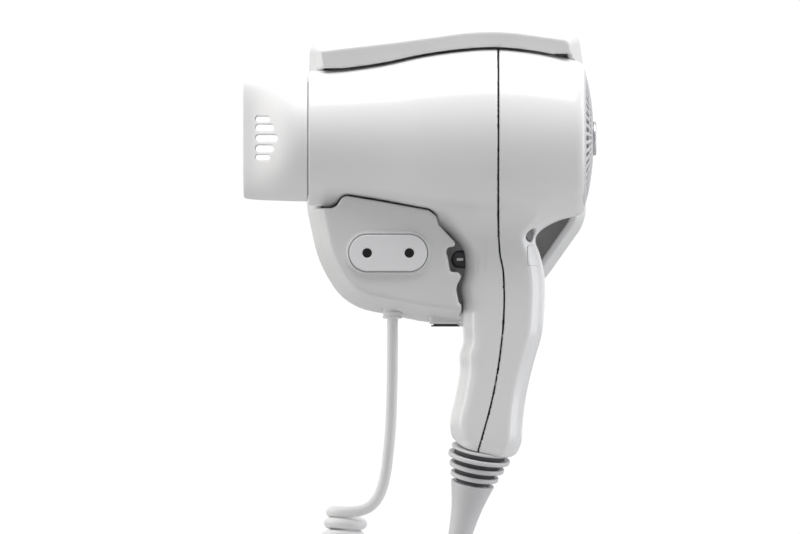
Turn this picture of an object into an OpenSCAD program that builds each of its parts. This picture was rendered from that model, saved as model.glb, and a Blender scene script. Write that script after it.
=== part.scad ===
/* [Holder] */
// Distance from the wall to the barrel's axis
axis_out = 50; // [48:1:54]
// Height of the barrel's axis above the mount centre
axis_up = 16; // [15:0.5:17]
// Depth of the open tray
tray_depth = 26; // [24:1:28]
// How far the hood reaches from the wall
hood_reach = 60; // [56:1:64]
// How far the socket block reaches from the wall
block_reach = 69; // [66:1:72]
// Distance between the two socket holes
socket_pitch = 19; // [19:0.5:20]
// Radius of a socket hole
socket_hole_r = 2.15; // [2.1:0.05:2.4]
// Wall thickness of the holder's mouldings
holder_wall = 2.5; // [2:0.1:3]
// Radius of a wall screw's hole
wall_screw_r = 2.5; // [2:0.1:2.8]

/* [Handset] */
// Wall thickness of the handset's shells
shell_wall = 2.2; // [1.8:0.1:2.4]
// Half of the handle's width across the flat sides
handle_half = 15.5; // [14:0.5:16]
// Outer radius of the outlet spigot that carries the nozzle
spigot_r = 25.4; // [24.5:0.1:25.6]
// Radius of the impeller
fan_r = 29; // [27:0.5:30]
// Number of impeller blades
blade_count = 7; // [5:1:11]
// Number of slots in the rear grille
grille_slots = 44; // [30:1:46]

/* [Cord] */
// Diameter of the cord
cord_d = 4.9; // [4.5:0.1:5.2]
// Outer diameter of the curled stretch
curl_d = 19.5; // [19:0.1:21]
// Length of the curled stretch along its centre line
curl_length = 320; // [280:5:340]

/* [Hidden] */
$fn = 48;

white = [0.93, 0.93, 0.92];
light_grey = [0.82, 0.82, 0.83];
dark_grey = [0.25, 0.25, 0.27];
steel = [0.72, 0.73, 0.75];
brass = [0.78, 0.63, 0.3];
mica = [0.75, 0.7, 0.58];

clear = 0.3;
plate_t = 3;
floor_front = plate_t + holder_wall;
barrel_front = -61.9;
barrel_rear = 62.4;
part_x = 23.6;
seat_gap = 0.8;

// ---------- curves and lofts ----------

function unit(v) = v / norm(v);

// One rounded corner at b between a and c, as n + 1 points on an arc of radius r
function corner(a, b, c, r, n) =
    let (u = unit(a - b), v = unit(c - b), half = acos(u * v) / 2,
        centre = b + unit(u + v) * r / sin(half),
        p = b + u * r / tan(half) - centre, q = b + v * r / tan(half) - centre,
        s = atan2(p.y, p.x), w = atan2(q.y, q.x) - s,
        turn = w > 180 ? w - 360 : w < -180 ? w + 360 : w)
    [for (k = [0:n]) centre + r * [cos(s + turn * k / n), sin(s + turn * k / n)]];

// A closed outline with every corner [x, z, radius] rounded
function rounded(c, n = 4) = let (m = len(c)) [for (i = [0:m - 1])
    let (a = c[(i + m - 1) % m], b = c[i], d = c[(i + 1) % m])
    each corner([a.x, a.y], [b.x, b.y], [d.x, d.y], b.z, n)];

// A smooth curve through points, with n steps between neighbours
function between(a, b, c, d, t) =
    0.5 * (2 * b + (c - a) * t + (2 * a - 5 * b + 4 * c - d) * t * t + (3 * b - a - 3 * c + d) * t * t * t);
function smooth(p, n = 4) = let (m = len(p) - 1) [for (i = [0:m - 1], k = [0:n - 1])
    between(p[max(i - 1, 0)], p[i], p[i + 1], p[min(i + 2, m)], k / n), p[m]];

// A closed solid through rings of equal length, given in either sense of turning
function turning(r, k = 0) = k == len(r) ? [0, 0, 0] : cross(r[k], r[(k + 1) % len(r)]) + turning(r, k + 1);
module loft(rings) {
    n = len(rings[0]);
    m = len(rings);
    forward = turning(rings[0]) * (rings[m - 1][0] - rings[0][0]) > 0;
    sides = [for (j = [0:m - 2], k = [0:n - 1]) let (a = j * n, b = a + n, q = (k + 1) % n)
        each [[a + k, a + q, b + q], [a + k, b + q, b + k]]];
    faces = concat([[for (k = [n - 1:-1:0]) k]], sides, [[for (k = [0:n - 1]) (m - 1) * n + k]]);
    polyhedron(points = [for (r = rings) each r],
        faces = forward ? [for (f = faces) [for (k = [len(f) - 1:-1:0]) f[k]]] : faces);
}

// An outline drawn in X and Z, extruded from y0 to y1 (y1 < y0)
module slab(outline, y0, y1) {
    translate([0, y0, 0]) rotate([90, 0, 0]) linear_extrude(y0 - y1) polygon(outline);
}

module box(x0, x1, y0, y1, z0, z1) {
    translate([x0, y0, z0]) cube([x1 - x0, y1 - y0, z1 - z0]);
}

// Cylinders along each axis, from their start point
module rod_x(p, l, r, r2 = -1) {
    translate(p) rotate([0, 90, 0]) cylinder(h = l, r1 = r, r2 = r2 < 0 ? r : r2);
}
module rod_y(p, l, r) {
    translate(p) rotate([90, 0, 0]) cylinder(h = l, r = r);
}

// A round tube through a route's points, each ring square to the run
module tube(route, r, sides) {
    m = len(route) - 1;
    loft([for (i = [0:m])
        let (d = unit(route[min(i + 1, m)] - route[max(i - 1, 0)]), u = unit(cross(d, [0, 1, 0.05])),
            v = cross(d, u))
        [for (k = [0:sides - 1]) route[i] + r * (cos(k * 360 / sides) * u + sin(k * 360 / sides) * v)]]);
}

// ---------- holder ----------

holder_corners = [[-63.2, -14, 40], [-57.8, -39.5, 55], [-45.5, -59.6, 27], [-12, -66.4, 60], [10, -69.4, 9],
    [29, -63, 16], [46, -46, 24], [63.4, -21.5, 20], [63.2, 42, 60], [60, 65, 8.5], [20, 70.6, 120],
    [-22, 64.8, 90], [-61.6, 60.2, 6]];
holder_outline = rounded(holder_corners);

// The mouldings narrow away from the wall: the outline's scale at a distance y
function draft(y) = y < tray_depth ? 1 - 0.054 * y / tray_depth : 0.946 - 0.056 * (y - tray_depth) / 43;
function shrunk(outline, k) = [for (p = outline) [p.x * (1 - k / 63), p.y * (1 - k / 66)]];
function holder_ring(y, inset = 0) =
    [for (p = shrunk(holder_outline, inset)) [p.x * draft(y), -y, p.y * draft(y)]];

barrel_curve = smooth([[barrel_front, 30.2], [-54.5, 30.6], [-44.6, 31.4], [-27.9, 33.8], [-10, 37.6],
    [8, 40], [23.6, 40.7], [41, 38.9], [56, 35.6], [60.6, 34.2], [barrel_rear, 32.2]], 3);

// The hood's lower edge follows the top of the barrel
under_hood = concat([[-80, axis_up + 31.4], [barrel_front, axis_up + 31.3]],
    [for (p = barrel_curve) if (p.x > -60 && p.x < 57) [p.x, axis_up + p.y + seat_gap]],
    [[56.8, axis_up + 36.4], [80, axis_up + 36.4], [80, -90], [-80, -90]]);

// The block's upper edge carries the barrel's flat belly and its notched edge follows the handle
block_edge = [[-80, -15.4], [-51.3, -15.4], [-49.2, -14.4], [-47, -11], [-44.9, -9.9], [-30.2, -12.3],
    [-7.7, -16.4], [-4.5, -19], [-3.4, -23], [-1, -25.4], [3.6, -30.4], [4.2, -31.7], [3.6, -32.7],
    [0.8, -33.2], [0, -34.8], [1, -38.7], [1.8, -43.6], [3, -44.2], [5.3, -44.2], [6.6, -45.5],
    [6.8, -46.6], [5, -49.8], [4.6, -52.2], [5.7, -57.6], [6.9, -59], [6.9, -62], [6.3, -63.3], [6.3, -90]];
block_region = concat(block_edge, [[-80, -90]]);
block_core = concat([for (p = block_edge) [p.x - holder_wall, p.y - holder_wall]], [[-90, -100]]);

module back_plate() {
    color(light_grey) difference() {
        slab(shrunk(holder_outline, 4), 0, -plate_t);
        for (x = [-36, 36], z = [-40, 48]) rod_y([x, 1, z], plate_t + 2, wall_screw_r);
        rod_y([-36, 1, -22], plate_t + 2, 6);
    }
}

module tray() {
    difference() {
        loft([holder_ring(0), holder_ring(tray_depth)]);
        slab(shrunk(holder_outline, 3.6), 1, -plate_t);
        loft([holder_ring(floor_front, holder_wall), holder_ring(tray_depth - 2, holder_wall)]);
        slab(shrunk(holder_outline, 7), -tray_depth + 5, -tray_depth - 1);
    }
}

module hood() {
    difference() {
        loft([holder_ring(tray_depth), holder_ring(hood_reach)]);
        loft([holder_ring(tray_depth - 1, holder_wall), holder_ring(hood_reach - 2.5, holder_wall)]);
        slab(under_hood, -tray_depth + 1, -hood_reach - 1);
    }
}

module barrel_slot(x0, x1, r) {
    rod_x([x0, -axis_out, axis_up], x1 - x0, r);
    box(x0, x1, -axis_out - 30, -axis_out, axis_up - r, axis_up + r);
}

module barrel_room() {
    barrel_slot(-70, -48.5, 31.5);
    barrel_slot(49, 70, 38.1);
}

module tray_shell() {
    color(white) difference() {
        union() {
            tray();
            box(-7.5, 7, -23.3, -5.5, -67.7, -62);
        }
        barrel_room();
        rod_y([-36, 0, -22], 9, 6);
        for (p = cover_screw_spots) rod_y([p.x, 0, p.y], 9, 1.6);
        translate([gland_x, -gland_out, -70]) cylinder(h = 12, r = 4.5);
        box(-5.8, 5.4, -21.5, -7.5, -72, -60);
    }
}

module hood_shell() {
    color(white) difference() {
        hood();
        barrel_room();
    }
}

module block_solid() {
    intersection() {
        loft([holder_ring(tray_depth), holder_ring(block_reach - 2), holder_ring(block_reach, 1.6)]);
        slab(block_region, -tray_depth, -block_reach - 1);
    }
}

module block_inside() {
    intersection() {
        loft([holder_ring(tray_depth - 1, holder_wall), holder_ring(block_reach - holder_wall, holder_wall)]);
        slab(block_core, -tray_depth + 1, -block_reach);
    }
}

// The block's two inner walls carry on through the tray down to its floor
module block_skirt() {
    intersection() {
        slab(shrunk(holder_outline, 13.2), -floor_front, -tray_depth);
        difference() {
            slab(block_region, -floor_front, -tray_depth - 0.01);
            slab(block_core, -floor_front + 1, -tray_depth - 1);
        }
    }
}

socket_x = -26;
socket_z = -35.6;

module stadium(l, h, y0, y1) {
    r = h / 2;
    box(socket_x - l / 2 + r, socket_x + l / 2 - r, y1, y0, socket_z - r, socket_z + r);
    for (s = [-1, 1]) rod_y([socket_x + s * (l / 2 - r), y0, socket_z], y0 - y1, r);
}

cover_screw_spots = [[-45.5, -21], [-9, -50]];

module front_cover() {
    color(white) difference() {
        union() {
            difference() {
                block_solid();
                block_inside();
            }
            block_skirt();
            stadium(37.6, 19.3, -block_reach + 2, -block_reach - 1.2);
            for (p = cover_screw_spots) rod_y([p.x, -floor_front, p.y], block_reach - floor_front - 1, 3.2);
        }
        stadium(35.5, 17, -block_reach + 8, -block_reach - 3);
        for (p = cover_screw_spots) rod_y([p.x, -floor_front + 1, p.y], 16, 1.5);
    }
}

module cover_screws() {
    color(steel) for (p = cover_screw_spots) {
        rod_y([p.x, -plate_t, p.y], 14, 1.5);
    }
}

module socket_insert() {
    color(white) difference() {
        union() {
            stadium(35.1, 16.6, -block_reach + 4, -block_reach - 1.8);
            stadium(39, 18.6, -block_reach + 4, -block_reach + 2.8);
        }
        for (s = [-1, 1]) rod_y([socket_x + s * socket_pitch / 2, -block_reach + 5, socket_z], 12, socket_hole_r);
    }
}

module socket_body() {
    color(dark_grey) difference() {
        box(socket_x - 16, socket_x + 16, -block_reach + 4, -block_reach + 22, socket_z - 7, socket_z + 7);
        for (s = [-1, 1]) rod_y([socket_x + s * socket_pitch / 2, -block_reach + 23, socket_z], 20, 3.5);
    }
}

module socket_contacts() {
    color(brass) for (s = [-1, 1]) difference() {
        rod_y([socket_x + s * socket_pitch / 2, -block_reach + 21, socket_z], 16.5, 3.5);
        rod_y([socket_x + s * socket_pitch / 2, -block_reach + 18, socket_z], 16.5, 2.3);
    }
}

module socket_fuse() {
    color(light_grey) {
        rod_x([-32, -36, -51.5], 14, 2.6);
        box(-33, -17, -33, -30, -55, -48);
        for (x = [-32.5, -19]) box(x, x + 1.5, -33.4, -33, -53, -50);
    }
}

module terminal_block() {
    color(light_grey) difference() {
        box(-44.5, -15.5, -19, -floor_front, -50, -40);
        for (k = [0:2]) rod_y([-40.5 + 10 * k, -11, -45], 9, 2.2);
    }
}

module terminal_screws() {
    color(steel) for (k = [0:2]) difference() {
        rod_y([-40.5 + 10 * k, -11, -45], 6, 2.2);
        box(-43.5 + 10 * k, -37.5 + 10 * k, -18, -16, -45.4, -44.6);
    }
}

module holder_wiring() {
    color(dark_grey) {
        tube([[-33, -floor_front - 2, -38.6], [-33, -24, -37.2], [-35.5, -46.8, -36]], 1.1, 8);
        tube([[-23, -floor_front - 2, -38.6], [-20, -24, -37.2], [-16.5, -46.8, -36]], 1.1, 8);
        tube([[-14.2, -12, -45], [-4, -12.5, -45.2], [-1.4, -13, -56]], 1.1, 8);
    }
}

gland_x = -24.1;
gland_out = 14;

module cable_gland() {
    color(light_grey) difference() {
        union() {
            translate([gland_x, -gland_out, -65.3]) cylinder(h = 8.5, r = 4.4);
            translate([gland_x, -gland_out, -58]) cylinder(h = 1.2, r = 5.4);
        }
        translate([gland_x, -gland_out, -65.8]) cylinder(h = 10, r = cord_d / 2 + 0.02);
    }
}

module cord_anchor() {
    color(dark_grey) difference() {
        translate([gland_x - 6, -gland_out - 4, -56.5]) cube([12, 8, 4]);
        translate([gland_x, -gland_out, -58]) cylinder(h = 8, r = 2.2);
    }
}

rocker_x = -0.2;
rocker_out = 14.5;
rocker_z = -63;

module rocker_frame() {
    color(dark_grey) difference() {
        union() {
            box(-5.6, 5.2, -21.3, -7.7, -68.2, -58);
            box(-6.6, 6.2, -22.3, -6.7, -68.8, -68.15);
        }
        box(-4.7, 4.3, -20.4, -8.6, -69, -59);
    }
}

module rocker_switch() {
    color(dark_grey) translate([rocker_x, -rocker_out, rocker_z]) rotate([-7, 0, 0]) difference() {
        translate([-4, 0, 0]) rotate([0, 90, 0]) intersection() {
            cylinder(h = 8, r = 5.5);
            translate([-3, -5.2, 0]) cube([9, 10.4, 8]);
        }
        translate([-5, 0, -7.3]) rotate([0, 90, 0]) cylinder(h = 10, r = 2.4);
    }
}

// ---------- handset ----------

// Stations down the handle: [front x, front z, rear x, rear z, half width]
handle_stations = [[0, -6, 45, -8, 15.5], [-2.6, -18.6, 45.4, -19.5, 15.5], [0.4, -25.6, 40.8, -25.6, 15.4],
    [4.8, -30.4, 40, -30.4, 15.3], [7.8, -36, 42, -35, 15.3],
    [7.8, -45.5, 44.2, -44.5, 15.4], [6.2, -50.8, 44.6, -49.5, 15.5], [7.7, -60, 44.4, -59, 15.5],
    [7.5, -68.7, 43.9, -68, 15.5], [7.8, -76, 42.4, -75.4, 15.2], [5.9, -81.5, 40.4, -82, 15],
    [6.2, -89, 38, -91, 14.6], [3.8, -102, 35.8, -102, 14.2], [1.7, -110.5, 34.7, -112, 13.8],
    [2.4, -117.8, 34, -121, 13.2], [3.6, -120.2, 31.3, -126.8, 12.4]];

// Cross section: flat sides with bevels, [share of the depth, share of the half width]
handle_section = [[0, 0.42], [0.05, 0.68], [0.15, 0.96], [0.22, 1], [0.76, 1], [0.84, 0.96], [0.95, 0.68],
    [1, 0.42]];

function handle_ring(s, inset) =
    let (f = [s[0], s[1]], r = [s[2], s[3]], d = unit(r - f), a = f + d * inset, b = r - d * inset,
        w = (s[4] - inset) * handle_half / 15.5)
    concat([for (p = handle_section) let (q = a + (b - a) * p.x) [q.x, -axis_out - w * p.y, q.y]],
        [for (i = [len(handle_section) - 1:-1:0]) let (p = handle_section[i], q = a + (b - a) * p.x)
            [q.x, -axis_out + w * p.y, q.y]]);

module handle(inset) {
    loft([for (i = [len(handle_stations) - 1:-1:0]) handle_ring(handle_stations[i], inset)]);
}

module turned(profile) {
    translate([0, -axis_out, axis_up]) rotate([0, 90, 0]) rotate_extrude() polygon(profile);
}

// The barrel as a turned body with a flat belly over the socket block
belly = [[-51, -14.4], [-49.6, -13.2], [-47, -10.2], [-44.9, -9.2], [-30.2, -11.6], [-7.7, -15.7], [-3.8, -18.4],
    [-2.7, -22.8], [-2.7, -40], [-51, -40]];

module barrel(inset) {
    difference() {
        turned(concat([for (p = barrel_curve) [p.y - inset, p.x]], [[0, barrel_rear], [0, barrel_front]]));
        slab([for (p = belly) [p.x + (p.x > -5 ? inset : -inset * (p.x < -46 ? 1 : 0)), p.y + inset]], 0, -100);
    }
}

module shell() {
    difference() {
        union() {
            barrel(0);
            handle(0);
        }
        difference() {
            union() {
                difference() {
                    barrel(shell_wall);
                    box(barrel_front - 1, barrel_front + shell_wall, -100, 0, -30, 70);
                }
                handle(shell_wall);
            }
            box(0, 40, -80, -20, -128, -122);
        }
        rod_x([barrel_front - 1, -axis_out, axis_up], 6, 23.5);
        rod_x([barrel_rear - 4, -axis_out, axis_up], 6, 31.5);
        trigger_hole(clear);
        cool_hole(clear);
        boot_hole(clear);
    }
}

parting = [[part_x, 80], [part_x, -23], [25.7, -43], [26.2, -56.5], [25.7, -68.7], [24.5, -80], [22.7, -92],
    [20.2, -104], [17.1, -115.5], [14.4, -125], [12.8, -132]];

// Housing screws: [height, parting plane, front boss's root, rear boss's root]
screw_spots = [[-56, 25.9, 8.6, 43], [-98, 21.2, 5.9, 35.4]];

module front_housing() {
    color(white) {
        difference() {
            union() {
                shell();
                for (s = screw_spots) rod_x([s[2], -axis_out, s.x], s.y - s[2], 3.2);
            }
            slab(concat(parting, [[90, -132], [90, 80]]), 0, -100);
            for (s = screw_spots) rod_x([14, -axis_out, s.x], 40, 1.25);
        }
        difference() {
            rod_x([spigot_tip, -axis_out, axis_up], barrel_front + 0.2 - spigot_tip, spigot_r);
            rod_x([spigot_tip - 1, -axis_out, axis_up], barrel_front + 3 - spigot_tip, 23.5);
        }
    }
}

module rear_housing() {
    color(white) difference() {
        union() {
            shell();
            for (s = screw_spots) rod_x([s.y - 2, -axis_out, s.x], s[3] - s.y + 2, 4.2);
        }
        slab(concat(parting, [[-90, -132], [-90, 80]]), 0, -100);
        for (s = screw_spots) rod_x([10, -axis_out, s.x], 40, 1.6);
        for (s = screw_spots) rod_x([s.y + 6, -axis_out, s.x], 40, 3);
    }
}

module housing_screws() {
    color(steel) for (s = screw_spots) {
        rod_x([15, -axis_out, s.x], s.y - 9, 1.25);
        rod_x([s.y + 6, -axis_out, s.x], 2.2, 2.8);
    }
}

// Nozzle stations: [x, half height, half depth]; round at the barrel and a narrow slot at the tip.
// Its round bore ends where the mouth starts to narrow, so the wall stays whole
nozzle_stations = [[-62.2, 28.4, 28.4], [-68, 28.3, 27.4], [-74, 28.1, 23.5], [-80, 27.9, 17],
    [-86, 27.6, 11], [-91.4, 27.4, 8]];

nozzle_wall = 1.8;
nozzle_stop = -68.3;
spigot_tip = nozzle_stop + 0.3;

function nozzle_ring(s, inset) =
    let (blend = (s[1] - s[2]) / 20, power = 1 - 0.45 * min(blend, 1))
    [for (k = [0:31]) let (a = k * 360 / 32, c = cos(a), q = sin(a))
        [s[0], -axis_out + (s[2] - inset) * sign(c) * pow(abs(c), power),
            axis_up + (s[1] - inset) * sign(q) * pow(abs(q), power)]];

module nozzle() {
    color(white) difference() {
        loft([for (s = nozzle_stations) nozzle_ring(s, 0)]);
        loft([for (i = [1:5]) nozzle_ring(nozzle_stations[i], nozzle_wall)]);
        rod_x([nozzle_stop, -axis_out, axis_up], 8, spigot_r + clear);
        box(-93, -91.3, -axis_out - 6.2, -axis_out + 6.2, axis_up - 25.6, axis_up + 25.6);
        for (k = [-2:2]) nozzle_slot(k * (5.1 - 0.4 * abs(k)), -75.6 - 1.75 * abs(k), abs(k) == 2 ? 1.3 : 1.65);
    }
}

module nozzle_slot(dz, x_end, r) {
    x_start = -85.8;
    box(x_start + r, x_end - r, -axis_out - 30, -axis_out + 30, axis_up + dz - r, axis_up + dz + r);
    for (x = [x_start + r, x_end - r]) rod_y([x, -axis_out + 30, axis_up + dz], 60, r);
}

module outlet_grille() {
    color(dark_grey) translate([spigot_tip + 0.5, -axis_out, axis_up]) {
        for (r = [8, 15, 22]) rotate([0, 90, 0]) rotate_extrude() translate([r, 0]) square([1.2, 2]);
        for (a = [0:60:120]) rotate([a, 0, 0]) translate([0.2, -22.8, -0.6]) cube([1.6, 45.6, 1.2]);
    }
}

module rear_grille() {
    dome = [[31.2, -4.2], [31.2, 0], [24, 1.9], [15, 3.3], [7.9, 3.9], [0, 3.9], [0, 1.7], [7.9, 1.7],
        [15, 1.1], [24, -0.3], [28.6, -1.4], [28.6, -4.2]];
    color(light_grey) difference() {
        translate([barrel_rear, -axis_out, axis_up]) rotate([0, 90, 0]) rotate_extrude() polygon(dome);
        for (k = [0:grille_slots - 1]) translate([barrel_rear, -axis_out, axis_up])
            rotate([k * 360 / grille_slots, 0, 0]) translate([-2, -0.5, 12.3]) cube([7, 1, 16.2]);
    }
}

module grille_cap() {
    color(steel) turned([[0, 66.3], [7.7, 66.3], [7.7, 67], [6.9, 67.8], [0, 67.8]]);
}

module lint_filter() {
    color(dark_grey) {
        difference() {
            rod_x([56.5, -axis_out, axis_up], 1.4, 31);
            rod_x([56, -axis_out, axis_up], 3, 28.5);
        }
        for (k = [-4:4]) let (h = sqrt(29 * 29 - 36 * k * k)) {
            box(56.8, 57.4, -axis_out + 6 * k - 0.3, -axis_out + 6 * k + 0.3, axis_up - h, axis_up + h);
            box(56.8, 57.4, -axis_out - h, -axis_out + h, axis_up + 6 * k - 0.3, axis_up + 6 * k + 0.3);
        }
    }
}

module motor() {
    color(steel) difference() {
        union() {
            rod_x([2, -axis_out, axis_up], 26, 14);
            rod_x([28, -axis_out, axis_up], 2, 5);
        }
        rod_x([16, -axis_out, axis_up], 15, 1.05);
    }
}

module motor_mount() {
    color(dark_grey) {
        turned([[14.1, 6], [16, 6], [16, 20], [14.1, 20]]);
        turned([[31, 4], [33, 4], [33, 46], [31, 46]]);
        for (k = [0:4]) translate([0, -axis_out, axis_up]) rotate([72 * k + 9, 0, 0])
            translate([7, -0.8, 15]) cube([12, 1.6, 17]);
    }
}

module motor_shaft() {
    color(steel) rod_x([18, -axis_out, axis_up], 25, 1);
}

module impeller() {
    color(dark_grey) difference() {
        union() {
            rod_x([32, -axis_out, axis_up], 11, 8);
            for (k = [0:blade_count - 1]) translate([37.5, -axis_out, axis_up])
                rotate([k * 360 / blade_count, 0, 0]) rotate([0, 0, 38])
                translate([-6, -0.6, 6]) cube([12, 1.2, fan_r - 6.5]);
        }
        rod_x([31, -axis_out, axis_up], 13, 1);
    }
}

module rectifier_board() {
    color([0.2, 0.4, 0.25]) {
        rod_x([0.4, -axis_out, axis_up], 1.6, 12);
        for (k = [0:3]) translate([-1.6, -axis_out, axis_up]) rotate([90 * k + 45, 0, 0])
            translate([0, -2.5, 5]) cube([2, 5, 2.4]);
    }
}

module mica_boards() {
    color(mica) for (a = [0, 90]) translate([-54, -axis_out, axis_up]) rotate([a, 0, 0])
        translate([0, -0.4, -19.5]) cube([48, 0.8, 39]);
}

module heating_coils() {
    color(steel) for (k = [0:11]) translate([-50 + 3.6 * k, -axis_out, axis_up]) rotate([0, 90, 0])
        rotate_extrude() translate([20.2, 0]) circle(r = 0.5, $fn = 16);
}

module mica_sleeve() {
    color(mica) difference() {
        rod_x([-58, -axis_out, axis_up], 56, 22.2);
        rod_x([-59, -axis_out, axis_up], 58, 21.4);
    }
}

module thermostat() {
    color(brass) translate([-22, -axis_out - 8, axis_up + 0.4]) {
        cylinder(h = 3, r = 4);
        translate([-2, -1.5, 3]) cube([8, 3, 0.6]);
    }
}

module thermal_fuse() {
    color(steel) rod_x([-24, -axis_out + 6, axis_up - 2.6], 10, 1.8);
}

// ---------- buttons ----------

trigger_z = -38.5;

module trigger_form(grow, x0, x1) {
    box(x0 + 3, x1, -axis_out - 5 - grow, -axis_out + 5 + grow, trigger_z - 4 - grow, trigger_z + 4 + grow);
    intersection() {
        rod_y([x0 + 5.6, -axis_out + 5 + grow, trigger_z], 10 + 2 * grow, 5.6);
        box(x0, x1, -60, -40, trigger_z - 4 - grow, trigger_z + 4 + grow);
    }
}

module trigger_hole(grow) {
    trigger_form(grow, 2.4, 12.4);
}

module trigger_button() {
    color(dark_grey) difference() {
        union() {
            trigger_form(0, 2.4, 11.4);
            box(10.4, 11.8, -axis_out - 6.2, -axis_out + 6.2, trigger_z - 5.2, trigger_z + 5.2);
        }
        rod_x([8.6, -axis_out, trigger_z], 4, 2.8);
    }
}

module trigger_spring() {
    color(steel) for (k = [0:2]) translate([12.3 + 1.1 * k, -axis_out, trigger_z]) rotate([0, 90, 0])
        rotate_extrude() translate([2, 0]) circle(r = 0.4, $fn = 16);
}

module trigger_switch() {
    color(dark_grey) difference() {
        box(15.2, 24, -axis_out - 8, -axis_out + 8, trigger_z - 8, trigger_z + 6);
        rod_x([15, -axis_out, trigger_z], 2, 3);
    }
}

cool_at = [38, -axis_out - 10.6, -27.6];
cool_turn = -37;

module cool_axis() {
    translate(cool_at) rotate([0, 0, cool_turn]) rotate([0, 90, 0]) children();
}

module cool_hole(grow) {
    cool_axis() translate([0, 0, -4]) cylinder(h = 9, r = 2.7 + grow);
}

module cool_button() {
    color(dark_grey) cool_axis() translate([0, 0, -4.6]) {
        cylinder(h = 4.6, r = 2.7);
        cylinder(h = 1, r = 3.6);
    }
}

module cool_switch() {
    color(dark_grey) cool_axis() translate([-3.5, -3.5, -10]) cube([7, 7, 4]);
}

module handle_wiring() {
    color(dark_grey) for (s = [-1, 1])
        tube([[17, -axis_out + 3 * s, -113.6], [19, -axis_out + 6 * s, -104], [21, -axis_out + 7 * s, -70],
            [20, -axis_out + 5 * s, -48.2]], 1.1, 8);
}

module handle_clamp() {
    color(dark_grey) translate([17, -axis_out, -118]) difference() {
        translate([-7, -8, 0]) cube([14, 16, 4]);
        translate([0, 0, -1]) cylinder(h = 6, r = 2.2);
    }
}

// ---------- boot and cord ----------

boot_top = [16.4, -axis_out, -121.5];
boot_tip = [2, -axis_out, -180];
boot_tilt = atan2(boot_top.x - boot_tip.x, boot_top.z - boot_tip.z);
boot_length = norm(boot_top - boot_tip);

module boot_axis() {
    translate(boot_tip) rotate([0, boot_tilt, 0]) children();
}

module boot_hole(grow) {
    boot_axis() translate([0, 0, boot_length - 4]) cylinder(h = 6, r = 8 + grow);
}

module cord_boot() {
    ring_pitch = 4;
    ring_top = boot_length - 2.8;
    cone = [[0, 0], [4, 0], [4.6, 10], [6.4, 28], [9.9, 42.1]];
    neck = [[7.6, 42.1], [11.6, ring_top - 1.2], [13.4, ring_top - 1.2], [13.4, ring_top], [7.8, ring_top]];
    color(light_grey) difference() {
        boot_axis() {
            rotate_extrude() polygon(concat(cone, neck, [[7.8, boot_length + 1], [0, boot_length + 1]]));
            for (k = [1:3]) translate([0, 0, ring_top - 1.5 - ring_pitch * k]) cylinder(h = 2.4, r = 15.5 - 1.55 * k);
        }
        translate([boot_tip.x, boot_tip.y, boot_tip.z - 5]) cylinder(h = 8, d = cord_d + 0.2);
    }
}

leg_top = [-45.2, -18, -154.9];
tail_top = [2, -axis_out, -200];
leg_gap = norm([tail_top.x - leg_top.x, tail_top.y - leg_top.y]);
bend_r = leg_gap / 2;
bend_z = -(curl_length - PI * bend_r - leg_top.z - tail_top.z) / 2;

lead_route = [[-24.1, -14, -65.3], [-24.1, -14.1, -72], [-24.1, -14.6, -82], [-24.2, -15.8, -93],
    [-24.5, -17.6, -104], [-25, -19.6, -115], [-25.9, -21.4, -125], [-27, -22.7, -134], [-28.6, -23.7, -141],
    [-31, -24.3, -146.4], [-34.2, -24.7, -149.9], [-38, -25.1, -151.7], [-42, -25.3, -152.3]];

module cord_lead() {
    color(white) tube(lead_route, cord_d / 2, 10);
}

// The curl hangs as two legs and a half circle, in the upright plane through both leg tops
across = unit([tail_top.x - leg_top.x, tail_top.y - leg_top.y, 0]);
coil_route = concat([leg_top, [leg_top.x, leg_top.y, (leg_top.z + bend_z) / 2]],
    [for (a = [0:15:180]) [leg_top.x, leg_top.y, bend_z] + bend_r * ((1 - cos(a)) * across - [0, 0, sin(a)])],
    [[tail_top.x, tail_top.y, (tail_top.z + bend_z) / 2], tail_top]);

module cord_coil() {
    color(white) tube(coil_route, curl_d / 2, 20);
}

module cord_tail() {
    color(white) translate([tail_top.x, tail_top.y, tail_top.z + 0.1])
        cylinder(h = boot_tip.z + 2 - tail_top.z, d = cord_d);
}

back_plate();
tray_shell();
hood_shell();
front_cover();
cover_screws();
socket_insert();
socket_body();
socket_contacts();
socket_fuse();
terminal_block();
terminal_screws();
holder_wiring();
cable_gland();
cord_anchor();
rocker_frame();
rocker_switch();
front_housing();
rear_housing();
nozzle();
outlet_grille();
rear_grille();
grille_cap();
lint_filter();
motor();
motor_mount();
motor_shaft();
impeller();
rectifier_board();
mica_boards();
heating_coils();
mica_sleeve();
thermostat();
thermal_fuse();
trigger_button();
trigger_spring();
trigger_switch();
cool_button();
cool_switch();
handle_wiring();
handle_clamp();
housing_screws();
cord_boot();
cord_lead();
cord_coil();
cord_tail();
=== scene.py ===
"""The looks of the wall-mounted hair dryer: smooth moulded shells, cord, materials, lights and camera."""

import math

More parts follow.
